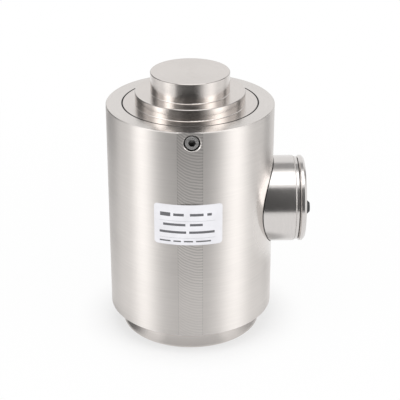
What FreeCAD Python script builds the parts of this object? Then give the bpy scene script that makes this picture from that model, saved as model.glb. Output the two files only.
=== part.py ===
import FreeCAD, Part
import math
import os

V = FreeCAD.Vector
UP = V(0, 0, 1)

# Housing sleeve, millimetres throughout
housing_diameter = 100.0
housing_height = 131.0
housing_wall = 14.0
rim_wall = 9.5
seat_thickness = 10.0
seat_width = 12.0
housing_bevel = 0.5
flat_width = 14.7
flat_turn = -1.3

# Foot plate under the housing
foot_step = 7.25
foot_height = 13.0
foot_bevel = 0.8
mount_inset = 14.75
mount_core = 8.5
mount_roof = 3.0
mount_count = 4

# Spring element, from the load button down
button_diameter = 47.0
button_height = 12.0
ring_diameter = 65.5
ring_height = 7.0
head_thickness = 20.0
head_gap = 0.4
head_travel = 2.0
shoulder_diameter = 52.0
shoulder_height = 8.0
neck_diameter = 40.0
neck_fillet = 6.0
column_width = 30.0
gauged_length = 48.0
gauged_fillet = 8.0
lower_flange_thickness = 15.0
step_fillet = 0.35
step_bevel = 0.5
edge_break = 0.3

# Rubber rings
seal_section = 2.4
head_seal_rise = 4.5
base_seal_inset = 4.0

# Screws and pins through the metalwork
base_thread = 8.0
base_screw_count = 4
base_engagement = 10.5
lock_thread = 5.0
lock_reach = 10.0
lock_edge = 1.8
lock_washer = 0.5
dowel_diameter = 6.0
dowel_depth = 4.0
tapping_run = 1.0
socket_share = 0.45

# Terminal housing on the side
stub_diameter = 52.5
stub_stand = 14.8
stub_drop = 63.5
stub_floor = 5.0
stub_bevel = 0.8
stub_neck_width = 1.7
stub_neck_step = 0.75
socket_margin = 1.2

# Its cover, gasket and cable gland
gasket_thickness = 0.4
gasket_inset = 1.0
cover_thickness = 3.7
cover_spigot = 2.5
cover_bevel = 1.3
cover_thread = 3.0
cover_head_height = 1.8
cover_engagement = 5.0
cover_screw_count = 4
cover_land = 0.55
gland_thread = 12.0
gland_shoulder = 1.0
gland_flange = 2.0
gland_offset = 6.5
gland_nut_height = 3.0
gland_nut_shoulder = 2.0
seal_wall = 1.9
seal_lip = 2.4
seal_collar = 0.65
seal_taper = 2.1
cable_hole = 5.0

# Terminal board inside it
board_thickness = 1.6
board_margin = 1.0
board_thread = 3.0
board_head_height = 1.8
board_screw_reach = 3.0
standoff_diameter = 5.5
standoff_inset = 4.5
standoff_stud = 4.0
standoff_count = 3
pin_diameter = 1.2
pin_flange = 2.2
pin_pitch = 3.2
pin_count = 4
pin_tail = 2.0
pin_rise = 3.0
pin_room = 1.4
input_row = -4.0
output_row = 7.0
resistor_diameter = 2.4
resistor_length = 6.4
resistor_span = 9.0
resistor_wire = 0.7
resistor_room = 1.4

# Strain gauges and wiring on the column
gauge_width = 12.0
gauge_height = 18.0
gauge_backing = 0.3
gauge_foil = 0.15
foil_bar = 0.6
foil_pitch = 1.2
foil_length = 6.0
foil_bars = 5
tab_width = 14.0
tab_height = 4.0
tab_thickness = 0.8
tab_gap = 1.0
bridge_wire = 1.2
riser_wire = 0.8
bridge_drop = 2.5
lead_diameter = 1.2
lead_run_out = 7.0
lead_run_in = 12.0

# Label
label_width = 40.5
label_height = 25.5
label_drop = 44.4
label_turn = -2.7
label_corner = 2.0
label_thickness = 0.15

# Clearances
slide_fit = 0.2
thread_fit = 0.05
through_fit = 0.5
socket_fit = 0.3
wire_gap = 0.3
wire_room = 1.15


def head_diameter(thread):
    """Width of a socket cap screw's head for its thread."""
    return 1.5 * thread + 1.0


# Radii and levels that the pieces share
housing_radius = housing_diameter / 2
cavity_radius = housing_radius - housing_wall
rim_radius = housing_radius - rim_wall
head_radius = rim_radius - head_gap
seat_radius = cavity_radius - seat_width
foot_radius = housing_radius - foot_step
base_circle = (seat_radius + cavity_radius) / 2
base_head_depth = base_thread + through_fit
mount_circle = foot_radius - mount_inset
mount_depth = foot_height - mount_roof
dowel_turn = 90 / mount_count
housing_top = foot_height + housing_height
head_underside = housing_top - head_thickness
seat_top = foot_height + seat_thickness
lower_flange_top = seat_top + lower_flange_thickness
ring_top = housing_top + ring_height
button_top = ring_top + button_height
flat_distance = math.sqrt(housing_radius**2 - (flat_width / 2) ** 2)
column_face = column_width / 2
gauged_centre = (lower_flange_top + head_underside) / 2
base_seal_radius = foot_radius - base_seal_inset
head_seal_level = head_underside + head_seal_rise
lock_head = head_diameter(lock_thread) / 2 + through_fit
lock_level = housing_top - lock_edge - lock_head
lock_seat = flat_distance - through_fit - lock_thread
stub_radius = stub_diameter / 2
stub_level = housing_top - stub_drop
stub_reach = housing_radius + stub_stand
stub_neck = stub_radius - stub_neck_step
socket_floor = math.sqrt(housing_radius**2 - stub_radius**2) - socket_margin
cup_floor = socket_floor + stub_floor
cover_start = stub_reach + gasket_thickness
cover_face = cover_start + cover_thickness
cover_seat = cover_face - cover_head_height - slide_fit
cover_circle = stub_radius - cover_bevel - cover_land - slide_fit - head_diameter(cover_thread) / 2
stub_bore = cover_circle - cover_thread / 2 - thread_fit - cover_land
gland_hex = gland_thread + 2 * gland_shoulder
gland_tail = stub_reach - cover_spigot - gland_nut_height - 2 * thread_fit
seal_radius = cable_hole / 2 + seal_wall
board_radius = stub_bore - board_margin
board_front = gland_tail - pin_room - pin_rise
board_back = board_front - board_thickness
standoff_circle = board_radius - standoff_inset
outer_pin = (pin_count - 1) / 2 * pin_pitch
wire_hole = math.hypot(input_row, outer_pin) + lead_diameter / 2 + wire_room
tab_level = gauged_centre - gauge_height / 2 - tab_gap - tab_height / 2
bridge_level = tab_level - tab_height / 2 - bridge_drop


def corner(x, z, fillet=0.0, bevel=0.0, y=0.0):
    """A corner of an outline, with the arc or bevel that it carries."""
    return V(x, y, z), fillet, bevel


def outline(corners, closed=True):
    """Joins corners by straight runs and puts in their arcs and bevels."""
    edges = []
    last = None
    first = None
    for i, (point, fillet, bevel) in enumerate(corners):
        arrive = leave = point
        turn = None
        if fillet or bevel:
            back = (corners[i - 1][0] - point).normalize()
            ahead = (corners[(i + 1) % len(corners)][0] - point).normalize()
            half = back.getAngle(ahead) / 2
            cut = bevel or fillet / math.tan(half)
            arrive = point + back * cut
            leave = point + ahead * cut
            turn = Part.LineSegment(arrive, leave).toShape()
            if fillet:
                inward = (back + ahead).normalize()
                middle = point + inward * (fillet / math.sin(half) - fillet)
                turn = Part.Arc(arrive, middle, leave).toShape()
        if last is not None and last.distanceToPoint(arrive) > 1e-6:
            edges.append(Part.LineSegment(last, arrive).toShape())
        if turn is not None:
            edges.append(turn)
        first = arrive if first is None else first
        last = leave
    if closed and last.distanceToPoint(first) > 1e-6:
        edges.append(Part.LineSegment(last, first).toShape())
    return Part.Wire(edges)


def turned(*corners):
    """A lathe part: the outline of radius and level turned about the vertical axis."""
    return Part.Face(outline(corners)).revolve(V(0, 0, 0), UP, 360)


def rod(radius, low, high, x=0.0, y=0.0):
    """A plain upright cylinder between two levels."""
    return Part.makeCylinder(radius, high - low, V(x, y, low))


def hexagon(across_flats, low, high):
    """An upright hexagonal bar between two levels."""
    reach = across_flats / math.sqrt(3)
    angles = [math.radians(60 * k) for k in range(7)]
    points = [V(reach * math.cos(a), reach * math.sin(a), low) for a in angles]
    return Part.Face(Part.makePolygon(points)).extrude(V(0, 0, high - low))


def ring_of(shape, count, circle, turn=0.0):
    """Copies of an upright shape, evenly spaced on a circle about the axis."""
    copies = []
    for k in range(count):
        piece = shape.copy()
        piece.translate(V(circle, 0, 0))
        piece.rotate(V(0, 0, 0), UP, turn + 360 * k / count)
        copies.append(piece)
    return Part.makeCompound(copies)


def swept(corners, radius, closed=False):
    """A round wire along a path of straight runs and arcs."""
    path = outline(corners, closed)
    start = path.OrderedEdges[0]
    direction = start.tangentAt(start.FirstParameter)
    section = Part.Wire(Part.makeCircle(radius, path.OrderedVertexes[0].Point, direction))
    mitred = 1
    return path.makePipeShell([section], True, True, mitred)


def cap_screw(thread, length, head_height):
    """Socket cap screw, head up, with the underside of its head at level 0."""
    head_radius = head_diameter(thread) / 2
    shank = thread / 2
    screw = turned(
        corner(0, -length),
        corner(shank, -length, bevel=thread / 10),
        corner(shank, 0),
        corner(head_radius, 0),
        corner(head_radius, head_height, bevel=thread / 12),
        corner(0, head_height),
    )
    socket = hexagon(0.8 * thread, head_height * socket_share, head_height)
    return screw.cut(socket)


def at_level(shape, level):
    """Raises an upright shape to a level."""
    shape.translate(V(0, 0, level))
    return shape


def outward(shape):
    """Lays an upright shape along the line of the lock screw, its top facing the flat."""
    shape.rotate(V(0, 0, 0), V(1, 0, 0), 90)
    shape.translate(V(0, 0, lock_level))
    return shape


def sideways(shape):
    """Lays an upright shape along the axis of the terminal housing, its +X side down."""
    shape.rotate(V(0, 0, 0), V(0, 1, 0), 90)
    shape.translate(V(0, 0, stub_level))
    return shape


def ring_seal(major, level):
    """Rubber ring of round section, lying flat at a level."""
    return Part.makeTorus(major, seal_section / 2, V(0, 0, level))


def make_housing():
    """Thick sleeve with an inward seat at its foot, a milled flat and a socket for the terminal housing."""
    body = turned(
        corner(seat_radius, foot_height),
        corner(housing_radius, foot_height, bevel=housing_bevel / 2),
        corner(housing_radius, housing_top, bevel=housing_bevel),
        corner(rim_radius, housing_top, bevel=edge_break / 2),
        corner(rim_radius, head_underside - head_travel),
        corner(cavity_radius, head_underside - head_travel),
        corner(cavity_radius, seat_top),
        corner(seat_radius, seat_top),
    )
    flat_depth = housing_radius - flat_distance
    flat = Part.makeBox(
        2 * flat_width, flat_depth, housing_height, V(-flat_width, -housing_radius, foot_height)
    )
    flat.rotate(V(0, 0, 0), UP, flat_turn)
    socket = sideways(rod(stub_radius + socket_fit, socket_floor, housing_radius))
    wire_way = sideways(rod(wire_hole, seat_radius, socket_floor))
    lock_hole = outward(rod(lock_thread / 2 + thread_fit, head_radius, housing_radius))
    counterbore = outward(rod(lock_head, lock_seat - lock_washer, housing_radius))
    mouth = outward(
        turned(
            corner(0, flat_distance - housing_bevel),
            corner(lock_head, flat_distance - housing_bevel),
            corner(lock_head + 2 * housing_bevel, flat_distance + housing_bevel),
            corner(0, flat_distance + housing_bevel),
        )
    )
    screw_holes = ring_of(
        rod(base_thread / 2 + through_fit, foot_height, seat_top), base_screw_count, base_circle
    )
    dowel_hole = ring_of(
        rod(dowel_diameter / 2 + thread_fit, foot_height, seat_top), 1, base_circle, dowel_turn
    )
    return body.cut([flat, socket, wire_way, lock_hole, counterbore, mouth, screw_holes, dowel_hole])


def make_spring_element():
    """One turned piece: button, ring and head, the gauged column, and the flange that it stands on."""
    groove_half = seal_section / 2 + slide_fit
    groove_floor = rim_radius - seal_section - slide_fit / 2
    shoulder = shoulder_diameter / 2
    neck = neck_diameter / 2
    spigot = seat_radius - slide_fit
    body = turned(
        corner(0, foot_height + slide_fit),
        corner(spigot, foot_height + slide_fit, bevel=step_bevel),
        corner(spigot, seat_top),
        corner(cavity_radius - slide_fit, seat_top, bevel=step_bevel),
        corner(cavity_radius - slide_fit, lower_flange_top, bevel=step_bevel),
        corner(shoulder, lower_flange_top, fillet=2 * step_fillet),
        corner(shoulder, lower_flange_top + shoulder_height, bevel=2 * step_bevel),
        corner(neck, lower_flange_top + shoulder_height, fillet=neck_fillet / 2),
        corner(neck, head_underside - shoulder_height, fillet=neck_fillet / 2),
        corner(shoulder, head_underside - shoulder_height, bevel=2 * step_bevel),
        corner(shoulder, head_underside, fillet=2 * step_fillet),
        corner(head_radius, head_underside, bevel=step_bevel),
        corner(head_radius, head_seal_level - groove_half),
        corner(groove_floor, head_seal_level - groove_half),
        corner(groove_floor, head_seal_level + groove_half),
        corner(head_radius, head_seal_level + groove_half),
        corner(head_radius, housing_top, bevel=edge_break / 2),
        corner(ring_diameter / 2, housing_top, fillet=step_fillet),
        corner(ring_diameter / 2, ring_top, bevel=edge_break),
        corner(button_diameter / 2, ring_top, fillet=step_fillet),
        corner(button_diameter / 2, button_top, bevel=edge_break),
        corner(0, button_top),
    )
    clear = neck + step_bevel
    half = gauged_length / 2
    cutter = Part.Face(
        outline([
            corner(column_face, gauged_centre - half, fillet=gauged_fillet),
            corner(clear, gauged_centre - half - (clear - column_face)),
            corner(clear, gauged_centre + half + (clear - column_face)),
            corner(column_face, gauged_centre + half, fillet=gauged_fillet),
        ])
    ).extrude(V(0, neck_diameter, 0))
    cutter.translate(V(0, -neck, 0))
    flats = ring_of(cutter, 4, 0)
    lock_tip = lock_thread / 2 + wire_gap
    lock_pocket = outward(rod(lock_tip, lock_seat - lock_reach - wire_gap, rim_radius))
    tapped = ring_of(
        rod(base_thread / 2 + thread_fit, seat_top, seat_top + base_engagement + tapping_run),
        base_screw_count,
        base_circle,
    )
    dowel_hole = ring_of(
        rod(dowel_diameter / 2 + thread_fit, seat_top, seat_top + dowel_depth + tapping_run),
        1,
        base_circle,
        dowel_turn,
    )
    return body.cut([flats, lock_pocket, tapped, dowel_hole])


def make_base_plate():
    """Round foot with sunk screws up into the element and blind tapped holes for the customer's bolts."""
    groove_half = seal_section / 2 + slide_fit / 2
    body = turned(
        corner(0, 0),
        corner(foot_radius, 0, bevel=foot_bevel),
        corner(foot_radius, foot_height, bevel=foot_bevel / 2),
        corner(base_seal_radius + groove_half, foot_height),
        corner(base_seal_radius + groove_half, foot_height - seal_section),
        corner(base_seal_radius - groove_half, foot_height - seal_section),
        corner(base_seal_radius - groove_half, foot_height),
        corner(0, foot_height),
    )
    shank_holes = ring_of(
        rod(base_thread / 2 + through_fit, 0, foot_height), base_screw_count, base_circle
    )
    head_holes = ring_of(
        rod(head_diameter(base_thread) / 2 + through_fit, 0, base_head_depth),
        base_screw_count,
        base_circle,
    )
    mount_holes = ring_of(
        rod(mount_core / 2, 0, mount_depth), mount_count, mount_circle, 180 / mount_count
    )
    dowel_hole = ring_of(
        rod(dowel_diameter / 2 + thread_fit, foot_height - dowel_depth, foot_height),
        1,
        base_circle,
        dowel_turn,
    )
    return body.cut([shank_holes, head_holes, mount_holes, dowel_hole])


def make_base_screws():
    """Cap screws from beneath that clamp foot, housing seat and element together."""
    length = seat_top + base_engagement - base_head_depth
    screw = cap_screw(base_thread, length, base_thread)
    screw.rotate(V(0, 0, 0), V(1, 0, 0), 180)
    return ring_of(at_level(screw, base_head_depth), base_screw_count, base_circle)


def make_base_dowel():
    """Ground pin that sets foot, housing and element in line."""
    radius = dowel_diameter / 2
    low = foot_height - dowel_depth
    high = seat_top + dowel_depth
    pin = turned(
        corner(0, low),
        corner(radius, low, bevel=step_bevel),
        corner(radius, high, bevel=step_bevel),
        corner(0, high),
    )
    return ring_of(pin, 1, base_circle, dowel_turn)


def make_lock_screw():
    """Radial screw whose plain tip floats in a pocket of the head and stops it turning."""
    return outward(at_level(cap_screw(lock_thread, lock_reach, lock_thread), lock_seat))


def make_lock_washer():
    """Thin sealing washer under the lock screw's head."""
    hole = lock_thread / 2 + 2 * thread_fit
    edge = head_diameter(lock_thread) / 2
    washer = rod(edge, lock_seat - lock_washer, lock_seat)
    return outward(washer.cut(rod(hole, lock_seat - lock_washer, lock_seat)))


def make_terminal_housing():
    """Turned cup let into the side of the housing, stepped down to a neck where its cover closes it."""
    body = turned(
        corner(wire_hole, socket_floor),
        corner(stub_radius, socket_floor),
        corner(stub_radius, stub_reach - stub_neck_width - stub_neck_step),
        corner(stub_neck, stub_reach - stub_neck_width),
        corner(stub_neck, stub_reach, bevel=edge_break),
        corner(stub_bore, stub_reach, bevel=stub_bevel / 2),
        corner(stub_bore, cup_floor, fillet=stub_bevel),
        corner(wire_hole, cup_floor),
    )
    tapped = ring_of(
        rod(cover_thread / 2 + thread_fit, stub_reach - cover_engagement - tapping_run, stub_reach),
        cover_screw_count,
        cover_circle,
        180 / cover_screw_count,
    )
    studs = ring_of(
        rod(board_thread / 2 + thread_fit, cup_floor - standoff_stud, cup_floor),
        standoff_count,
        standoff_circle,
        180 / standoff_count,
    )
    return sideways(body.cut([tapped, studs]))


def make_cover_gasket():
    """Flat rubber gasket, set back from the rim, between the terminal housing and its cover."""
    body = turned(
        corner(stub_bore + slide_fit, stub_reach),
        corner(stub_neck - gasket_inset, stub_reach),
        corner(stub_neck - gasket_inset, cover_start),
        corner(stub_bore + slide_fit, cover_start),
    )
    holes = ring_of(
        rod(cover_thread / 2 + 2 * thread_fit, stub_reach, cover_start),
        cover_screw_count,
        cover_circle,
        180 / cover_screw_count,
    )
    return sideways(body.cut(holes))


def make_end_cover():
    """Turned lid with bevelled rim, locating spigot, sunk screws and an offset gland hole."""
    spigot = stub_bore - slide_fit
    body = turned(
        corner(0, stub_reach - cover_spigot),
        corner(spigot, stub_reach - cover_spigot, bevel=step_bevel),
        corner(spigot, cover_start),
        corner(stub_radius, cover_start, bevel=stub_bevel),
        corner(stub_radius, cover_face, bevel=cover_bevel),
        corner(0, cover_face),
    )
    shank_holes = ring_of(
        rod(cover_thread / 2 + slide_fit, cover_start, cover_face),
        cover_screw_count,
        cover_circle,
        180 / cover_screw_count,
    )
    head_holes = ring_of(
        rod(head_diameter(cover_thread) / 2 + slide_fit, cover_seat, cover_face),
        cover_screw_count,
        cover_circle,
        180 / cover_screw_count,
    )
    gland_hole = rod(
        gland_thread / 2 + 2 * thread_fit, stub_reach - cover_spigot, cover_face, gland_offset
    )
    return sideways(body.cut([shank_holes, head_holes, gland_hole]))


def make_cover_screws():
    """Low-headed screws that hold the cover and press the gasket."""
    length = cover_seat - stub_reach + cover_engagement
    screw = at_level(cap_screw(cover_thread, length, cover_head_height), cover_seat)
    return sideways(ring_of(screw, cover_screw_count, cover_circle, 180 / cover_screw_count))


def make_gland_body():
    """Low cable gland: a hexagonal flange outside and a threaded shank through the cover."""
    shank = turned(
        corner(0, gland_tail),
        corner(gland_thread / 2, gland_tail, bevel=step_bevel),
        corner(gland_thread / 2, cover_face),
        corner(0, cover_face),
    )
    flange = hexagon(gland_hex, cover_face, cover_face + gland_flange)
    crown = turned(
        corner(0, cover_face),
        corner(gland_hex / math.sqrt(3), cover_face),
        corner(gland_hex / math.sqrt(3), cover_face + gland_flange, bevel=gland_flange / 2),
        corner(0, cover_face + gland_flange),
    )
    bore = rod(seal_radius, gland_tail + gland_flange, cover_face + gland_flange)
    throat = rod(cable_hole / 2 + slide_fit, gland_tail, cover_face)
    body = shank.fuse(flange.common(crown)).cut([bore, throat]).removeSplitter()
    body.translate(V(gland_offset, 0, 0))
    return sideways(body)


def make_gland_seal():
    """Rubber sleeve that grips the cable, its collar and tapered lip standing out of the gland."""
    radius = seal_radius - thread_fit
    low = gland_tail + gland_flange
    lip = cover_face + gland_flange
    sleeve = turned(
        corner(cable_hole / 2, low),
        corner(radius, low),
        corner(radius, lip),
        corner(radius + seal_collar, lip),
        corner(radius + seal_collar - seal_taper, lip + seal_lip, fillet=seal_lip / 8),
        corner(cable_hole / 2, lip + seal_lip),
    )
    sleeve.translate(V(gland_offset, 0, 0))
    return sideways(sleeve)


def make_gland_nut():
    """Flat hexagonal nut that holds the gland from inside the cover."""
    high = stub_reach - cover_spigot
    nut = hexagon(gland_hex + gland_nut_shoulder, high - gland_nut_height, high)
    nut = nut.cut(rod(gland_thread / 2 + thread_fit, high - gland_nut_height, high))
    nut.translate(V(gland_offset, 0, 0))
    return sideways(nut)


def pin_places(row):
    """The places of a row of pins on the board."""
    return [(row, k * pin_pitch - outer_pin) for k in range(pin_count)]


def make_terminal_board():
    """Round circuit board with two rows of pins and screw holes for its standoffs."""
    board = rod(board_radius, board_back, board_front)
    holes = [
        ring_of(
            rod(board_thread / 2 + slide_fit, board_back, board_front),
            standoff_count,
            standoff_circle,
            180 / standoff_count,
        )
    ]
    for x, y in pin_places(input_row) + pin_places(output_row):
        holes.append(rod(pin_diameter / 2 + thread_fit, board_back, board_front, x, y))
    return sideways(board.cut(holes))


def make_board_standoffs():
    """Round spacers, each with a threaded stud below and a tapped hole above."""
    thread = board_thread / 2
    post = turned(
        corner(0, cup_floor - standoff_stud),
        corner(thread, cup_floor - standoff_stud, bevel=step_bevel / 2),
        corner(thread, cup_floor),
        corner(standoff_diameter / 2, cup_floor),
        corner(standoff_diameter / 2, board_back),
        corner(thread + thread_fit, board_back),
        corner(thread + thread_fit, board_back - board_screw_reach - tapping_run / 2),
        corner(0, board_back - board_screw_reach - tapping_run / 2),
    )
    return sideways(ring_of(post, standoff_count, standoff_circle, 180 / standoff_count))


def make_board_screws():
    """Small screws that hold the board down on its standoffs."""
    length = board_thickness + board_screw_reach
    screw = at_level(cap_screw(board_thread, length, board_head_height), board_front)
    return sideways(ring_of(screw, standoff_count, standoff_circle, 180 / standoff_count))


def make_terminal_pins():
    """Flanged solder pins pressed through the board in two rows."""
    radius = pin_diameter / 2
    pin = turned(
        corner(0, board_back - pin_tail),
        corner(radius, board_back - pin_tail),
        corner(radius, board_front),
        corner(pin_flange / 2, board_front),
        corner(pin_flange / 2, board_front + radius),
        corner(radius, board_front + radius),
        corner(radius, board_front + pin_rise),
        corner(0, board_front + pin_rise),
    )
    pins = []
    for x, y in pin_places(input_row) + pin_places(output_row):
        copy = pin.copy()
        copy.translate(V(x, y, 0))
        pins.append(copy)
    return sideways(Part.makeCompound(pins))


def resistor_places():
    """Middle and turn of each resistor: one upright on either side, two level between the rows of pins."""
    side = outer_pin + pin_flange / 2 + resistor_room + resistor_diameter / 2
    pitch = (output_row - input_row) / 3
    upright = [(input_row, y, 0) for y in (-side, side)]
    level = [(input_row + pitch * k, 0, 90) for k in (1, 2)]
    return upright + level


def make_trim_resistors():
    """Wire-ended resistors that balance the bridge, soldered on the face of the board."""
    half = resistor_length / 2
    radius = resistor_diameter / 2
    body = turned(
        corner(0, -half),
        corner(radius, -half, bevel=radius / 3),
        corner(radius, half, bevel=radius / 3),
        corner(0, half),
    )
    body.rotate(V(0, 0, 0), V(0, 1, 0), 90)
    axis = board_front + radius + wire_gap
    body.translate(V(0, 0, axis))
    wire = swept(
        [
            corner(-resistor_span / 2, board_front),
            corner(-resistor_span / 2, axis, bevel=resistor_wire),
            corner(resistor_span / 2, axis, bevel=resistor_wire),
            corner(resistor_span / 2, board_front),
        ],
        resistor_wire / 2,
    )
    resistor = body.fuse(wire)
    copies = []
    for x, y, turn in resistor_places():
        copy = resistor.copy()
        copy.rotate(V(0, 0, 0), UP, turn)
        copy.translate(V(x, y, 0))
        copies.append(copy)
    return sideways(Part.makeCompound(copies))


def make_gauge(turn):
    """Foil strain gauge on its backing: an upright grid above, a level grid below."""
    front = column_face + gauge_backing
    backing = Part.makeBox(
        gauge_backing,
        gauge_width,
        gauge_height,
        V(column_face, -gauge_width / 2, gauged_centre - gauge_height / 2),
    )
    bars = []
    for k in range(foil_bars):
        across = (k - (foil_bars - 1) / 2) * foil_pitch - foil_bar / 2
        upright = V(front, across, gauged_centre + foil_pitch)
        level = V(front, -foil_length / 2, gauged_centre - foil_length / 2 - foil_pitch + across)
        bars.append(Part.makeBox(gauge_foil, foil_bar, foil_length, upright))
        bars.append(Part.makeBox(gauge_foil, foil_length, foil_bar, level))
    gauge = backing.fuse(bars)
    gauge.rotate(V(0, 0, 0), UP, turn)
    return gauge


def make_solder_tabs():
    """Strips bonded under the gauges, where their wires meet the bridge wiring."""
    tab = Part.makeBox(
        tab_thickness,
        tab_width,
        tab_height,
        V(column_face, -tab_width / 2, tab_level - tab_height / 2),
    )
    return ring_of(tab, 4, 0)


def make_bridge_wiring():
    """Wire loop around the column with two risers to each strip of solder tabs."""
    radius = bridge_wire / 2
    reach = column_face + wire_gap + radius
    edge = min(neck_diameter / 2, column_face * math.sqrt(2)) + wire_gap + radius
    bend = (reach * math.sqrt(2) - edge) / (math.sqrt(2) - 1)
    square = ((reach, reach), (-reach, reach), (-reach, -reach), (reach, -reach))
    loop = [corner(reach, bridge_level)]
    loop += [corner(x, bridge_level, fillet=bend, y=y) for x, y in square]
    wiring = swept(loop, radius, closed=True)
    riser = rod(riser_wire / 2, bridge_level, tab_level - tab_height / 2)
    risers = []
    for y in (-tab_width / 4, tab_width / 4):
        copy = riser.copy()
        copy.translate(V(reach, y, 0))
        risers.extend(ring_of(copy, 4, 0).Solids)
    return wiring.fuse(risers)


def make_lead(index):
    """Insulated lead from the solder tabs out to a pin of the terminal board."""
    start = column_face + tab_thickness
    end = board_back - pin_tail
    level = stub_level - input_row
    y = (index - (pin_count - 1) / 2) * pin_pitch
    rise_from = start + lead_run_out
    rise_to = end - lead_run_in
    slope = math.atan2(abs(level - tab_level), rise_to - rise_from)
    bend = 0.9 * min(lead_run_out, lead_run_in) / 2 / math.tan(slope / 2)
    return swept(
        [
            corner(start, tab_level, y=y),
            corner(rise_from, tab_level, fillet=bend, y=y),
            corner(rise_to, level, fillet=bend, y=y),
            corner(end, level, y=y),
        ],
        lead_diameter / 2,
    )


def make_label():
    """Thin printed film wrapped on the housing across the flat."""
    outer = rod(housing_radius + label_thickness, foot_height, housing_top)
    film = outer.cut(rod(housing_radius, foot_height, housing_top))
    half_chord = housing_radius * math.sin(label_width / housing_radius / 2)
    high = housing_top - label_drop
    low = high - label_height
    pane = Part.Face(
        outline([
            corner(-half_chord, low, fillet=label_corner),
            corner(half_chord, low, fillet=label_corner),
            corner(half_chord, high, fillet=label_corner),
            corner(-half_chord, high, fillet=label_corner),
        ])
    ).extrude(V(0, -housing_diameter, 0))
    pane.rotate(V(0, 0, 0), UP, label_turn)
    return film.common(pane)


def all_pieces():
    """Every piece under the name of its node."""
    pieces = {
        "housing": make_housing(),
        "spring_element": make_spring_element(),
        "base_plate": make_base_plate(),
        "base_screws": make_base_screws(),
        "base_dowel": make_base_dowel(),
        "base_seal": ring_seal(base_seal_radius, foot_height - seal_section / 2),
        "head_seal": ring_seal(rim_radius - (seal_section + slide_fit / 2) / 2, head_seal_level),
        "lock_screw": make_lock_screw(),
        "lock_washer": make_lock_washer(),
        "terminal_housing": make_terminal_housing(),
        "cover_gasket": make_cover_gasket(),
        "end_cover": make_end_cover(),
        "cover_screws": make_cover_screws(),
        "gland_body": make_gland_body(),
        "gland_seal": make_gland_seal(),
        "gland_nut": make_gland_nut(),
        "terminal_board": make_terminal_board(),
        "board_standoffs": make_board_standoffs(),
        "board_screws": make_board_screws(),
        "terminal_pins": make_terminal_pins(),
        "trim_resistors": make_trim_resistors(),
        "solder_tabs": make_solder_tabs(),
        "bridge_wiring": make_bridge_wiring(),
        "label": make_label(),
    }
    for turn, side in ((0, "right"), (90, "back"), (180, "left"), (270, "front")):
        pieces["gauge_" + side] = make_gauge(turn)
    for index, colour in enumerate(("red", "black", "green", "white")):
        pieces["lead_" + colour] = make_lead(index)
    return pieces


def write_steps():
    """Writes one STEP file for each node."""
    os.makedirs("parts", exist_ok=True)
    for name, shape in all_pieces().items():
        if not shape.isValid():
            raise ValueError(name + " is not a valid shape")
        shape.exportStep("parts/" + name + ".step")
        print(name, len(shape.Solids), "solids", round(shape.Volume, 2), "mm3")


write_steps()
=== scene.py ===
import math
import bmesh
import bpy
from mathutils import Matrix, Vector


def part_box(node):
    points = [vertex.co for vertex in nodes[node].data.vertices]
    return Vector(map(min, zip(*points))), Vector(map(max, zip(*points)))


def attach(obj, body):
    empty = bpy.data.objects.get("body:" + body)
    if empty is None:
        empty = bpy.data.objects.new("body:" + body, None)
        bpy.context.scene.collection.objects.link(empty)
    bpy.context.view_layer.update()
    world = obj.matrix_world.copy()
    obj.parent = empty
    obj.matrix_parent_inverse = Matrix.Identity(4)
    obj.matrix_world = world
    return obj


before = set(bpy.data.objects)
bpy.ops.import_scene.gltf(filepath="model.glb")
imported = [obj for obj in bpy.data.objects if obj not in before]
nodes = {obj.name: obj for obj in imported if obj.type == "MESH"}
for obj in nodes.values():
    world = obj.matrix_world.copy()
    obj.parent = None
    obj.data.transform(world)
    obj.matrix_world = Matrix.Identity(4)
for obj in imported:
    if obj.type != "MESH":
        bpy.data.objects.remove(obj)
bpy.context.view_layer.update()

# The table and the view. The load cell stands on a plain white table, which keeps its soft shadow, and is
# looked down on from in front, a little to the left of the milled flat.
eye = Vector((-0.01255, -0.6911, 0.4037))
look_right = 0.02655
look_down = 0.4385
lens_length = 111.97
sensor_width = 36.0
nearest_seen = 0.01

camera_data = bpy.data.cameras.new("camera")
camera_data.lens = lens_length
camera_data.sensor_width = sensor_width
camera_data.clip_start = nearest_seen
camera = bpy.data.objects.new("camera", camera_data)
forward = Vector((
    math.sin(look_right) * math.cos(look_down),
    math.cos(look_right) * math.cos(look_down),
    -math.sin(look_down),
))
camera.location = eye
camera.rotation_euler = forward.to_track_quat("-Z", "Y").to_euler()
bpy.context.scene.collection.objects.link(camera)
bpy.context.scene.camera = camera
bpy.context.scene.view_settings.view_transform = "Standard"


def put(tree, kind, inputs=(), **settings):
    """Adds a shader node, sets or joins its inputs, and returns its first output."""
    made = tree.nodes.new("ShaderNode" + kind)
    for key, value in settings.items():
        setattr(made, key, value)
    for socket, value in dict(inputs).items():
        if isinstance(value, bpy.types.NodeSocket):
            tree.links.new(value, made.inputs[socket])
        else:
            made.inputs[socket].default_value = value
    return made.outputs[0] if made.outputs else None


def calc(tree, operation, *terms):
    """A sum or other figure of one to three terms."""
    return put(tree, "Math", dict(enumerate(terms)), operation=operation)


def times(tree, first, *others):
    """The product of all terms."""
    product = first
    for other in others:
        product = calc(tree, "MULTIPLY", product, other)
    return product


def smooth(tree, value, start, end, low=0.0, high=1.0):
    """A soft step from low to high, as the value goes from start to end."""
    return put(
        tree, "MapRange",
        {"Value": value, "From Min": start, "From Max": end, "To Min": low, "To Max": high},
        interpolation_type="SMOOTHSTEP",
    )


def length(tree, vector):
    """How long a vector is."""
    return put(tree, "VectorMath", {0: vector}, operation="LENGTH").node.outputs["Value"]


def new_finish(name):
    """An empty material and the nodes inside it."""
    finish = bpy.data.materials.new(name)
    finish.use_nodes = True
    finish.node_tree.nodes.clear()
    return finish, finish.node_tree


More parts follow.
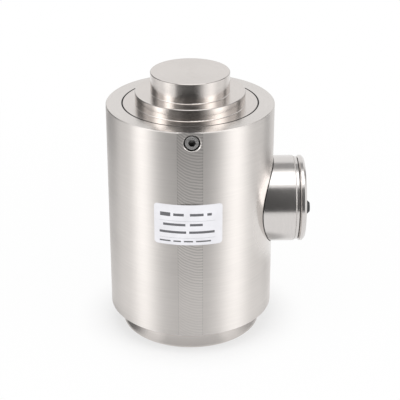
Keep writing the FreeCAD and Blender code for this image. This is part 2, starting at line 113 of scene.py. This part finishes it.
def seen_directly(tree):
    """1 for what the camera, a mirror or a glass shows, and 0 for light that only fills."""
    path = put(tree, "LightPath").node
    mirrored = calc(tree, "MAXIMUM", path.outputs["Is Camera Ray"], path.outputs["Is Glossy Ray"])
    return calc(tree, "MAXIMUM", mirrored, path.outputs["Is Transmission Ray"])


table_half = 4.0
white = (1, 1, 1, 1)
table_paint = (0.82, 0.82, 0.82, 1)
square_corners = [(-1, -1), (1, -1), (1, 1), (-1, 1)]

table_mesh = bpy.data.meshes.new("table_top")
table_mesh.from_pydata([(x * table_half, y * table_half, 0) for x, y in square_corners], [], [(0, 1, 2, 3)])
table_top = bpy.data.objects.new("table_top", table_mesh)
bpy.context.scene.collection.objects.link(table_top)

white_table, tree = new_finish("white_table")
reach = length(tree, put(tree, "NewGeometry").node.outputs["Position"])
open_table = smooth(tree, reach, start=0.12, end=0.42, low=0.94)
beside_foot = smooth(tree, reach, start=0.043, end=0.075, low=0.6)
paint = put(tree, "BsdfDiffuse", {"Color": table_paint})
glow = put(tree, "Emission", {"Color": white, "Strength": 1.0})
share = times(tree, open_table, beside_foot, seen_directly(tree))
put(tree, "OutputMaterial", {"Surface": put(tree, "MixShader", {"Fac": share, 1: paint, 2: glow})})
table_mesh.materials.append(white_table)

# The light. A white tent lights the table evenly, with a soft box on either side and one above. Dark cards
# stand where the room is dark, so that the polished steel has something dark to mirror.
tent_fill = 0.82

tent = bpy.data.worlds.new("tent")
bpy.context.scene.world = tent
tent.use_nodes = True
tree = tent.node_tree
tree.nodes.clear()
seen = put(tree, "Background", {"Color": white, "Strength": 1.0})
fill = put(tree, "Background", {"Color": white, "Strength": tent_fill})
both = put(tree, "MixShader", {"Fac": seen_directly(tree), 1: fill, 2: seen})
put(tree, "OutputWorld", {"Surface": both})


def around(azimuth, distance, height):
    """A point round the load axis. Azimuth 0 is in front of the flat, 90 beyond the terminal housing."""
    turn = math.radians(azimuth)
    return Vector((math.sin(turn) * distance, -math.cos(turn) * distance, height))


def xyz(tree, vector):
    """The three parts of a vector."""
    return put(tree, "SeparateXYZ", {0: vector}).node.outputs


def soft_box(name, place, target, width, height, brightness, feather):
    """An area lamp that steel mirrors and the camera doesn't see, dimmer towards its two sides by feather."""
    lamp = bpy.data.lights.new(name, "AREA")
    lamp.use_nodes = True
    tree = lamp.node_tree
    tree.nodes.clear()
    middle = 0.5
    across = xyz(tree, put(tree, "NewGeometry").node.outputs["Parametric"])[0]
    inside = calc(tree, "SUBTRACT", middle, calc(tree, "ABSOLUTE", calc(tree, "SUBTRACT", across, middle)))
    glow = put(tree, "Emission", {"Strength": smooth(tree, inside, start=0.0, end=feather)})
    put(tree, "OutputLight", {"Surface": glow})
    lamp.shape = "RECTANGLE"
    lamp.size = width
    lamp.size_y = height
    lamp.energy = brightness * 4 * width * height
    box = bpy.data.objects.new(name, lamp)
    box.location = place
    box.rotation_euler = (target - place).to_track_quat("-Z", "Y").to_euler()
    box.visible_camera = False
    bpy.context.scene.collection.objects.link(box)


def hang(card):
    """Puts a card in the studio, where only mirrors show it."""
    bpy.context.scene.collection.objects.link(card)
    card.visible_camera = False
    card.visible_diffuse = False
    card.visible_shadow = False
    card.visible_transmission = False


def paper_shade(tree, cover, shade):
    """Paper as bright as shade where cover is 1, and clear where it is 0."""
    dark = put(tree, "Emission", {"Color": white, "Strength": shade})
    clear = put(tree, "BsdfTransparent", {"Color": white})
    put(tree, "OutputMaterial", {"Surface": put(tree, "MixShader", {"Fac": cover, 1: clear, 2: dark})})


def dark_card(name, place, target, width, height, soft_edge, shade):
    """A card as bright as shade, whose two sides fade out over soft_edge."""
    mesh = bpy.data.meshes.new(name)
    rim = [(x * width / 2, y * height / 2, 0) for x, y in square_corners]
    mesh.from_pydata(rim, [], [(0, 1, 2, 3)])
    card = bpy.data.objects.new(name, mesh)
    card.location = place
    card.rotation_euler = (target - place).to_track_quat("Z", "Y").to_euler()
    paper, tree = new_finish(name)
    across = xyz(tree, put(tree, "TexCoord").node.outputs["Object"])[0]
    inside = calc(tree, "SUBTRACT", width / 2, calc(tree, "ABSOLUTE", across))
    paper_shade(tree, smooth(tree, inside, start=0.0, end=soft_edge), shade)
    mesh.materials.append(paper)
    hang(card)


soft_box(
    "left_soft_box", place=around(-66, 0.55, 0.42), target=around(-66, 0.0, 0.42),
    width=0.42, height=0.84, brightness=1.6, feather=0.5,
)
soft_box(
    "right_soft_box", place=around(60, 0.55, 0.42), target=around(60, 0.0, 0.42),
    width=0.54, height=0.84, brightness=1.42, feather=0.5,
)
soft_box(
    "top_soft_box", place=Vector((0.03, -0.16, 0.75)), target=Vector((0.03, -0.16, 0.0)),
    width=0.6, height=0.46, brightness=1.15, feather=0.05,
)
dark_card(
    "front_card", place=Vector((0, -0.34, 0.25)), target=Vector((0, 0, 0.25)),
    width=0.66, height=0.50, soft_edge=0.26, shade=0.06,
)
dark_card(
    "low_card", place=Vector((-0.20, -0.33, 0.04)), target=Vector((-0.20, 0, 0.04)),
    width=0.30, height=0.08, soft_edge=0.09, shade=0.05,
)
dark_card(
    "ring_card", place=around(-36, 0.42, 0.29), target=around(-36, 0.0, 0.29),
    width=0.24, height=0.13, soft_edge=0.08, shade=0.08,
)
dark_card(
    "left_card", place=around(-127, 0.5, 0.3), target=around(-127, 0.0, 0.3),
    width=0.50, height=0.6, soft_edge=0.18, shade=0.2,
)
dark_card(
    "right_card", place=around(117, 0.5, 0.3), target=around(117, 0.0, 0.3),
    width=0.24, height=0.6, soft_edge=0.12, shade=0.25,
)
dark_card(
    "ceiling_card", place=Vector((0.06, 0.27, 0.6)), target=Vector((0.06, 0.0, 0.1)),
    width=0.5, height=0.26, soft_edge=0.06, shade=0.4,
)

# The painted shadow round the foot. A ring of grey paper lies on the table for the foot to mirror, standing
# in for the table's shadow there: darkest beside and behind it, and lighter in front and on the side of the
# terminal housing, which would show it too.
paper_inside = 0.044
paper_outside = 0.066
paper_level = 0.0005
paper_steps = 72
painted_shadow_grey = 0.1


def shift(tree, value, low, high):
    """A value of 0 to 1 spread between two others."""
    return put(tree, "MapRange", {"Value": value, "To Min": low, "To Max": high})


def span(tree, x, y, z=0.0):
    """How far a point lies from the middle."""
    return length(tree, put(tree, "CombineXYZ", {0: x, 1: y, 2: z}))


ring_points = []
for radius in (paper_inside, paper_outside):
    for k in range(paper_steps):
        turn = 2 * math.pi * k / paper_steps
        ring_points.append((radius * math.sin(turn), -radius * math.cos(turn), paper_level))
ring_faces = []
for k in range(paper_steps):
    following = (k + 1) % paper_steps
    ring_faces.append((k, following, following + paper_steps, k + paper_steps))
paper_mesh = bpy.data.meshes.new("foot_shadow_card")
paper_mesh.from_pydata(ring_points, [], ring_faces)
foot_shadow_card = bpy.data.objects.new("foot_shadow_card", paper_mesh)
# painted shade: the grey ring stands in for the table's shadow round the foot
foot_shadow_paper, tree = new_finish("foot_shadow_paper")
x, y, _ = xyz(tree, put(tree, "TexCoord").node.outputs["Object"])
from_front = calc(tree, "ABSOLUTE", calc(tree, "ARCTAN2", x, calc(tree, "MULTIPLY", y, -1.0)))
ahead = smooth(tree, from_front, start=0.4, end=0.62, low=0.34, high=0.0)
behind = smooth(tree, from_front, start=0.72, end=1.15, low=0.0, high=0.9)
terminal_side = calc(tree, "GREATER_THAN", x, 0.0)
behind = times(tree, behind, shift(tree, terminal_side, 1.0, 0.5))
close_by = smooth(tree, span(tree, x, y), start=0.058, end=paper_outside, low=1.0, high=0.0)
paper_shade(tree, times(tree, calc(tree, "MAXIMUM", ahead, behind), close_by), painted_shadow_grey)
paper_mesh.materials.append(foot_shadow_paper)
hang(foot_shadow_card)

# The housing. A thick sleeve of stainless steel, turned all over to a fine satin, with painted light that
# makes it paler near the foot. A cutter has milled the narrow flat down its front, and its marks grow fainter
# towards the foot; each border of the flat carries a thin line of painted shade. The sleeve is smoother round
# the terminal housing, and painted shade darkens the gap round the head and the counterbore.
housing_steel = (0.626, 0.596, 0.572)
satin_grain = 0.92
faced_grain = 0.6
flat_middle = math.radians(-1.3)
flat_half = 0.00735
flat_face = -0.0488
flat_tone = 0.06
border_width = 0.0003
painted_border_tone = 0.15
flat_gloss = -0.06
mark_pitch = 0.00185
mark_wander = 0.0014
mark_drift = 0.7
mark_tone = 0.15
wobble_scale = 220.0
cutter_radius = 0.017
cutter_side = 0.0055
cloud_scale = 28.0
counterbore_radius = 0.0048
counterbore_floor = -0.03
painted_shade_bore = 0.04078
painted_shade_bore_bottom = 0.05
painted_hole_shade = 0.12
out_of_reach = 0.1
low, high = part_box("lock_screw")
lock_level = (low.z + high.z) / 2
low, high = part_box("terminal_housing")
terminal_level = (low.z + high.z) / 2
terminal_end = high.x


def on_piece(tree):
    """Where a point lies on its piece."""
    return put(tree, "TexCoord").node.outputs["Object"]


def lathe_frame(tree, axis="Z", level=0.0):
    """Where a point lies on a turned piece: along its axis, out from it, and the direction round it."""
    spot = on_piece(tree)
    if axis == "X":
        quarter = (0.0, -math.pi / 2, 0.0)
        spot = put(tree, "Mapping", {"Vector": spot, "Rotation": quarter, "Location": (level, 0, 0)})
    x, y, along = xyz(tree, spot)
    flat = put(tree, "CombineXYZ", {0: x, 1: y})
    out = length(tree, flat)
    round_it = put(tree, "VectorMath", {0: flat}, operation="NORMALIZE")
    return along, out, round_it


def turning_marks(tree, place, spacing, drift):
    """Grooves left by a turning tool: they run round the axis, and drift slowly on their way round."""
    along, out, round_it = place
    lean = put(tree, "VectorMath", {0: round_it, "Scale": drift}, operation="SCALE")
    lift = put(tree, "CombineXYZ", {2: calc(tree, "DIVIDE", along, spacing)})
    where = put(tree, "VectorMath", {0: lean, 1: lift}, operation="ADD")
    return put(
        tree, "TexNoise",
        {"Vector": where, "W": calc(tree, "DIVIDE", out, spacing), "Scale": 1.0, "Detail": 2.0},
        noise_dimensions="4D",
    )


def tint(tree, colour, factor):
    """A colour made lighter or darker by a factor."""
    return put(tree, "VectorMath", {0: colour, "Scale": factor}, operation="SCALE")


def bare_metal(tree, colour, roughness, normal, grain, axis):
    """A shader for bare metal whose gloss is stretched across its turning marks by grain."""
    across = put(tree, "Tangent", direction_type="RADIAL", axis=axis)
    return put(
        tree, "BsdfPrincipled",
        {
            "Base Color": colour, "Metallic": 1.0, "Roughness": roughness, "Normal": normal,
            "Anisotropic": grain, "Anisotropic Rotation": 0.25, "Tangent": across,
        },
    )


def facing_up(tree):
    """How far a surface faces up: 1 for a level one."""
    return xyz(tree, put(tree, "NewGeometry").node.outputs["Normal"])[2]


def dress(piece, finish):
    """Gives a piece its one finish."""
    piece.data.materials.clear()
    piece.data.materials.append(finish)


satin_steel, tree = new_finish("satin_turned_steel")
place = lathe_frame(tree)
spot = on_piece(tree)
square_x, square_y, _ = xyz(tree, spot)
x, y, z = xyz(tree, put(tree, "Mapping", {"Vector": spot, "Rotation": (0, 0, -flat_middle)}))

from_border = calc(tree, "SUBTRACT", flat_half, calc(tree, "ABSOLUTE", x))
on_flat = times(tree, calc(tree, "GREATER_THAN", from_border, 0.0), calc(tree, "LESS_THAN", y, flat_face))
# painted shade: a thin darker line along each border of the flat
painted_border_shade = times(tree, on_flat, calc(tree, "LESS_THAN", from_border, border_width))
sideways = calc(tree, "SUBTRACT", x, cutter_side)
drop = calc(tree, "SQRT", calc(tree, "SUBTRACT", cutter_radius ** 2, times(tree, sideways, sideways)))
wobble = put(tree, "TexNoise", {"Vector": spot, "Scale": wobble_scale, "Detail": 4.0})
path = calc(tree, "ADD", calc(tree, "ADD", z, drop), times(tree, wobble, mark_wander))
wave = calc(tree, "SINE", times(tree, path, 2 * math.pi / mark_pitch))
along_path = calc(tree, "DIVIDE", path, mark_pitch * mark_drift)
uneven = put(tree, "TexNoise", {"W": along_path, "Scale": 1.0}, noise_dimensions="1D")
fainter = put(
    tree, "MapRange", {"Value": z, "From Min": 0.030, "From Max": 0.060, "To Min": 0.3, "To Max": 1.0}
)
marks = times(tree, wave, on_flat, fainter, shift(tree, uneven, 0.5, 1.5))

fine = turning_marks(tree, place, spacing=0.0009, drift=3.0)
broad = turning_marks(tree, place, spacing=0.02, drift=1.2)
cloud = put(tree, "TexNoise", {"Vector": spot, "Scale": cloud_scale, "Detail": 4.0})
tone = calc(tree, "ADD", shift(tree, fine, 0.94, 1.06), shift(tree, cloud, -0.05, 0.05))
tone = calc(tree, "ADD", tone, times(tree, marks, mark_tone))
tone = calc(tree, "SUBTRACT", tone, times(tree, on_flat, flat_tone))
# painted shade along the flat's borders
tone = calc(tree, "SUBTRACT", tone, times(tree, painted_border_shade, painted_border_tone))
# painted light: the sleeve is made paler towards the foot
painted_light_near_foot = put(
    tree, "MapRange", {"Value": z, "From Min": 0.05, "From Max": 0.13, "To Min": 1.18, "To Max": 1.05}
)
tone = times(tree, tone, painted_light_near_foot)
# painted shade: the counterbore and the gap round the head are darkened
from_lock = span(tree, square_x, calc(tree, "SUBTRACT", z, lock_level))
in_counterbore = times(
    tree,
    calc(tree, "LESS_THAN", from_lock, counterbore_radius),
    calc(tree, "LESS_THAN", y, counterbore_floor),
)
gap_with_painted_shade = times(
    tree, calc(tree, "LESS_THAN", place[1], painted_shade_bore), calc(tree, "GREATER_THAN", z, painted_shade_bore_bottom)
)
hole_with_painted_shade = calc(tree, "MAXIMUM", in_counterbore, gap_with_painted_shade)
colour = tint(tree, tint(tree, housing_steel, tone), shift(tree, hole_with_painted_shade, 1.0, painted_hole_shade))

other_side = times(tree, calc(tree, "LESS_THAN", square_x, 0.0), out_of_reach)
from_terminal = span(tree, square_y, calc(tree, "SUBTRACT", z, terminal_level), other_side)
smoother = smooth(tree, from_terminal, start=0.029, end=0.042, low=0.4)
rough = calc(tree, "ADD", shift(tree, broad, 0.38, 0.46), times(tree, on_flat, flat_gloss))
height = calc(tree, "ADD", times(tree, fine, 0.3), times(tree, marks, 0.5))
normal = put(tree, "Bump", {"Height": height, "Strength": 0.35, "Distance": 0.00003})
side = bare_metal(tree, colour, times(tree, rough, smoother), normal, grain=satin_grain, axis="Z")
end = bare_metal(tree, colour, shift(tree, broad, 0.18, 0.26), normal, grain=faced_grain, axis="Z")
faced = calc(tree, "GREATER_THAN", calc(tree, "ABSOLUTE", facing_up(tree)), 0.9)
put(tree, "OutputMaterial", {"Surface": put(tree, "MixShader", {"Fac": faced, 1: side, 2: end})})
dress(nodes["housing"], satin_steel)

# The spring element. One turned bar of stainless steel makes the load button, its ring, the head that closes
# the housing, and the gauged column inside. Its faces are smooth enough to mirror its own steps; the edges of
# the button and the ring are broken with a fine bevel darkened with painted shade, and painted shade darkens
# the head's own edge in the gap.
bright_colour = (0.65, 0.61, 0.582)
button_bevel_out = 0.02318
button_bevel_level = 0.16268
ring_bevel_out = 0.03243
ring_bevel_level = 0.15068
painted_bevel_shade = 0.62
head_shade_radius = 0.03978
painted_gap_shade = 0.15

bright_steel, tree = new_finish("bright_turned_steel")
place = lathe_frame(tree)
z, out, _ = place
fine = turning_marks(tree, place, spacing=0.0008, drift=4.0)
broad = turning_marks(tree, place, spacing=0.006, drift=1.5)
faced = calc(tree, "GREATER_THAN", facing_up(tree), 0.9)
rough = calc(tree, "ADD", shift(tree, broad, 0.15, 0.21), times(tree, faced, 0.05))
# painted shade: the head's edge is darkened in the gap
gap_with_painted_shade = times(
    tree, calc(tree, "GREATER_THAN", out, head_shade_radius), calc(tree, "GREATER_THAN", z, painted_shade_bore_bottom)
)
# painted shade: the bevels of the button and the ring are darkened
bevels_with_painted_shade = [
    times(tree, calc(tree, "GREATER_THAN", out, bevel_out), calc(tree, "GREATER_THAN", z, bevel_level))
    for bevel_out, bevel_level in (
        (button_bevel_out, button_bevel_level), (ring_bevel_out, ring_bevel_level),
    )
]
colour = tint(tree, bright_colour, shift(tree, fine, 0.93, 1.07))
colour = tint(tree, colour, shift(tree, gap_with_painted_shade, 1.0, painted_gap_shade))
colour = tint(tree, colour, shift(tree, calc(tree, "MAXIMUM", *bevels_with_painted_shade), 1.0, painted_bevel_shade))
normal = put(tree, "Bump", {"Height": fine, "Strength": 0.08, "Distance": 0.00003})
steel = bare_metal(tree, colour, rough, normal, grain=0.5, axis="Z")
put(tree, "OutputMaterial", {"Surface": steel})
dress(nodes["spring_element"], bright_steel)

# The foot. A round plate of the same steel, which the base screws draw up against the housing from below;
# painted shade darkens its upper edge in the joint. Its four bolt holes are tapped M10, with painted shade in
# their thread grooves.
foot_colour = (0.688, 0.648, 0.62)
bolt_place = 0.028 / math.sqrt(2)
bolt_pitch = 0.0015
bolt_reach = 0.0044
painted_thread_shade = 0.6
joint_level = 0.0125
joint_out = 0.042
painted_joint_shade = 0.55

foot_steel, tree = new_finish("turned_foot_steel")
place = lathe_frame(tree)
fine = turning_marks(tree, place, spacing=0.0007, drift=3.0)
broad = turning_marks(tree, place, spacing=0.008, drift=1.5)
x, y, z = xyz(tree, on_piece(tree))
x = calc(tree, "SUBTRACT", calc(tree, "ABSOLUTE", x), bolt_place)
y = calc(tree, "SUBTRACT", calc(tree, "ABSOLUTE", y), bolt_place)
hole_with_painted_shade = calc(tree, "LESS_THAN", span(tree, x, y), bolt_reach)
turns = calc(tree, "DIVIDE", calc(tree, "ARCTAN2", y, x), 2 * math.pi)
helix = calc(tree, "FRACT", calc(tree, "ADD", calc(tree, "DIVIDE", z, bolt_pitch), turns))
# painted shade: the thread grooves in the bolt holes are darkened
thread = times(tree, calc(tree, "PINGPONG", helix, 0.5), hole_with_painted_shade)
height = calc(tree, "ADD", times(tree, fine, 0.02), thread)
# painted shade: the foot's upper edge is darkened in the joint under the housing
joint_with_painted_shade = times(
    tree, calc(tree, "GREATER_THAN", z, joint_level), calc(tree, "GREATER_THAN", place[1], joint_out)
)
tone = times(
    tree,
    shift(tree, fine, 0.93, 1.07),
    shift(tree, thread, 1.0, painted_thread_shade),
    shift(tree, joint_with_painted_shade, 1.0, painted_joint_shade),
)
normal = put(tree, "Bump", {"Height": height, "Strength": 0.6, "Distance": 0.001})
rough = shift(tree, broad, 0.2, 0.28)
steel = bare_metal(tree, tint(tree, foot_colour, tone), rough, normal, grain=0.8, axis="Z")
put(tree, "OutputMaterial", {"Surface": steel})
dress(nodes["base_plate"], foot_steel)

# The terminal housing and its cover. Both are turned from bar on their own axis and polished brighter than
# the sleeve, with a rougher line where the cup steps down to its neck. The cup is let into a round socket in
# the housing's side, and the cup is darker in a thin line at its root, where it meets the socket.
polished_colour = (0.668, 0.64, 0.622)
root_line_reach = 0.0504
root_line_shade = 0.1
neck_start = terminal_end - 0.00245
neck_end = terminal_end - 0.0017
neck_rougher = 0.45

polished_steel, tree = new_finish("polished_turned_steel")
place = lathe_frame(tree, "X", terminal_level)
fine = turning_marks(tree, place, spacing=0.0006, drift=5.0)
broad = turning_marks(tree, place, spacing=0.005, drift=2.0)
x, y, _ = xyz(tree, on_piece(tree))
# the cup is darker in a thin line at its root, where it meets the socket
root_line = calc(tree, "LESS_THAN", span(tree, x, y), root_line_reach)
tone = times(tree, shift(tree, fine, 0.95, 1.05), shift(tree, root_line, 1.0, root_line_shade))
normal = put(tree, "Bump", {"Height": fine, "Strength": 0.15, "Distance": 0.00002})
on_step = times(tree, calc(tree, "GREATER_THAN", x, neck_start), calc(tree, "LESS_THAN", x, neck_end))
rough = calc(tree, "ADD", shift(tree, broad, 0.19, 0.25), times(tree, on_step, neck_rougher))
steel = bare_metal(tree, tint(tree, polished_colour, tone), rough, normal, grain=0.4, axis="X")
put(tree, "OutputMaterial", {"Surface": steel})
for name in ("terminal_housing", "end_cover"):
    dress(nodes[name], polished_steel)

# The screws and the dowel. Stainless socket screws, rolled and tumbled, so their heads are softly mottled;
# the dowel is ground. Painted shade darkens the lock screw's socket and the side of its head.
screw_colour = (0.56, 0.55, 0.54)
lock_face = -0.0488
painted_socket_shade = 0.38
painted_head_side_shade = 0.12


def tumbled(name, speck, socket_radius=0.0, head_side=0.0):
    """Tumbled screw steel, mottled by the size of speck, with painted shade in the socket and on the head
    side if given.
    """
    finish, tree = new_finish(name)
    spot = on_piece(tree)
    mottle = put(tree, "TexNoise", {"Vector": spot, "Scale": 1 / speck, "Detail": 3.0})
    tone = shift(tree, mottle, 0.75, 1.25)
    # painted shade in the socket and on the side of the head
    if socket_radius:
        x, y, z = xyz(tree, spot)
        out = span(tree, x, calc(tree, "SUBTRACT", z, lock_level))
        in_socket = calc(tree, "LESS_THAN", out, socket_radius)
        painted_socket_mask = times(tree, in_socket, calc(tree, "GREATER_THAN", y, lock_face))
        painted_head_side_mask = calc(tree, "GREATER_THAN", out, head_side)
        tone = times(tree, tone, shift(tree, painted_socket_mask, 1.0, painted_socket_shade))
        tone = times(tree, tone, shift(tree, painted_head_side_mask, 1.0, painted_head_side_shade))
    steel = put(
        tree, "BsdfPrincipled",
        {
            "Base Color": tint(tree, screw_colour, tone), "Metallic": 1.0,
            "Normal": put(tree, "Bump", {"Height": mottle, "Strength": 0.35, "Distance": 0.0001}),
            "Roughness": shift(tree, mottle, 0.2, 0.36),
        },
    )
    put(tree, "OutputMaterial", {"Surface": steel})
    return finish


screw_steel = tumbled("tumbled_screw_steel", speck=0.0011)
for name in ("base_screws", "base_dowel", "cover_screws", "board_screws"):
    dress(nodes[name], screw_steel)
lock_screw_steel = tumbled("lock_screw_steel", speck=0.0007, socket_radius=0.0022, head_side=0.0041)
dress(nodes["lock_screw"], lock_screw_steel)

# The seals. Rubber rings under the housing and round the head, a flat gasket behind the cover, a sealing
# washer under the lock screw and the lip of the cable gland, all moulded in matt black rubber.
rubber_colour = (0.028, 0.028, 0.029)


def moulded(name, colour, least_rough, most_rough, grain, depth):
    """A moulded or lacquered material with a fine grain and an uneven gloss."""
    finish, tree = new_finish(name)
    spot = on_piece(tree)
    speck = put(tree, "TexNoise", {"Vector": spot, "Scale": grain, "Detail": 3.0})
    patch = put(tree, "TexNoise", {"Vector": spot, "Scale": grain / 12, "Detail": 2.0})
    body = put(
        tree, "BsdfPrincipled",
        {
            "Base Color": tint(tree, colour, shift(tree, patch, 0.88, 1.12)),
            "Roughness": shift(tree, speck, least_rough, most_rough),
            "Normal": put(tree, "Bump", {"Height": speck, "Strength": 0.4, "Distance": depth}),
        },
    )
    put(tree, "OutputMaterial", {"Surface": body})
    return finish


black_rubber = moulded("black_rubber", rubber_colour, 0.55, 0.8, grain=2500.0, depth=0.00003)
for name in ("base_seal", "head_seal", "cover_gasket", "lock_washer", "gland_seal"):
    dress(nodes[name], black_rubber)

# The cable gland. Its low body and its nut are moulded in black nylon, and the body screws into the middle of
# the end cover.
nylon_colour = (0.03, 0.03, 0.032)
black_nylon = moulded("black_nylon", nylon_colour, 0.35, 0.5, grain=1800.0, depth=0.00002)
for name in ("gland_body", "gland_nut"):
    dress(nodes[name], black_nylon)

# The terminal board. A round green lacquered board stands inside the cup on tinned brass standoffs, and
# carries tinned brass pins and four blue resistors. The solder tabs on the column are tinned brass as well.
board_green = (0.03, 0.2, 0.08)
brass_colour = (0.8, 0.62, 0.3)
resistor_blue = (0.15, 0.35, 0.55)
board_lacquer = moulded("board_lacquer", board_green, 0.2, 0.4, grain=900.0, depth=0.00002)
tinned_brass = moulded("tinned_brass", brass_colour, 0.25, 0.4, grain=1500.0, depth=0.00002)
resistor_lacquer = moulded("resistor_lacquer", resistor_blue, 0.25, 0.4, grain=1500.0, depth=0.00002)
dress(nodes["terminal_board"], board_lacquer)
for name in ("board_standoffs", "terminal_pins", "solder_tabs"):
    dress(nodes[name], tinned_brass)
dress(nodes["trim_resistors"], resistor_lacquer)

# The strain gauges. Amber film that carries a metal foil, one gauge bonded to each of the column's four
# faces.
gauge_amber = (0.7, 0.4, 0.12)
gauge_film = moulded("gauge_film", gauge_amber, 0.25, 0.4, grain=1500.0, depth=0.00001)
for side in ("front", "back", "left", "right"):
    dress(nodes["gauge_" + side], gauge_film)

# The wiring. Stranded leads with coloured insulation run from the column to the board; the loop that joins
# the gauges is insulated in red.
insulation_colours = {
    "red": (0.6, 0.05, 0.04),
    "black": (0.03, 0.03, 0.03),
    "green": (0.04, 0.4, 0.12),
    "white": (0.85, 0.85, 0.83),
}
for colour_name, colour in insulation_colours.items():
    insulation = moulded(colour_name + "_insulation", colour, 0.35, 0.5, grain=1200.0, depth=0.00002)
    dress(nodes["lead_" + colour_name], insulation)
    if colour_name == "red":
        dress(nodes["bridge_wiring"], insulation)

# The label. A white polyester film with round corners, wrapped across the flat; where the details of a cell
# are printed it has plain grey bars between two thin rules.
film_colour = (0.805, 0.80, 0.833)
print_colour = (0.13, 0.13, 0.14)
rule_colour = (0.45, 0.46, 0.48)
ink_depth = 0.00002
label_film = moulded("label_film", film_colour, 0.3, 0.42, grain=1200.0, depth=0.00001)
dress(nodes["label"], label_film)
low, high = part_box("label")
film_radius = -low.y
print_radius = film_radius + ink_depth


def printed_strip(mesh, left, right, bottom, top):
    """A thin strip of ink on the film, between two angles in degrees from the front and two levels."""
    degrees_a_step = 1.5
    steps = max(2, round(abs(right - left) / degrees_a_step))
    rows = []
    for level in (bottom, top):
        row = []
        for k in range(steps + 1):
            turn = math.radians(left + (right - left) * k / steps)
            row.append((math.sin(turn), -math.cos(turn), level))
        rows.append(row)
    inner = [[mesh.verts.new((x * film_radius, y * film_radius, z)) for x, y, z in row] for row in rows]
    outer = [[mesh.verts.new((x * print_radius, y * print_radius, z)) for x, y, z in row] for row in rows]
    for k in range(steps):
        mesh.faces.new((outer[0][k], outer[0][k + 1], outer[1][k + 1], outer[1][k]))
        mesh.faces.new((inner[0][k + 1], inner[0][k], inner[1][k], inner[1][k + 1]))
        mesh.faces.new((inner[0][k], inner[0][k + 1], outer[0][k + 1], outer[0][k]))
        mesh.faces.new((outer[1][k], outer[1][k + 1], inner[1][k + 1], inner[1][k]))
    mesh.faces.new((inner[0][0], outer[0][0], outer[1][0], inner[1][0]))
    mesh.faces.new((outer[0][-1], inner[0][-1], inner[1][-1], outer[1][-1]))


def printing(name, strips, colour):
    """All strips of one ink as one piece."""
    mesh = bmesh.new()
    for strip in strips:
        printed_strip(mesh, *strip)
    data = bpy.data.meshes.new(name)
    mesh.to_mesh(data)
    mesh.free()
    piece = bpy.data.objects.new(name, data)
    bpy.context.scene.collection.objects.link(piece)
    dress(piece, moulded(name + "_ink", colour, 0.4, 0.55, grain=2500.0, depth=0.00001))
    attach(piece, "root")


bars = [
    (-21.5, -14.5, 0.0922, 0.0946), (-12.5, -5.5, 0.0926, 0.0942), (-1.5, 7.5, 0.0926, 0.0942),
    (10.0, 13.0, 0.0926, 0.0942),
    (-19.5, -4.5, 0.0863, 0.0878), (-1.5, 7.0, 0.0863, 0.0878),
    (-22.0, -4.0, 0.0815, 0.0830), (-2.0, 15.0, 0.0815, 0.0830),
    (-22.0, -14.5, 0.0760, 0.0769), (-12.5, -7.5, 0.0760, 0.0769), (-5.5, 0.5, 0.0760, 0.0769),
    (2.5, 12.5, 0.0760, 0.0769),
]
rules = [(-22.0, 15.5, 0.0893, 0.08945), (-22.0, 15.5, 0.0785, 0.07865)]
printing("label_bars", bars, print_colour)
printing("label_rules", rules, rule_colour)
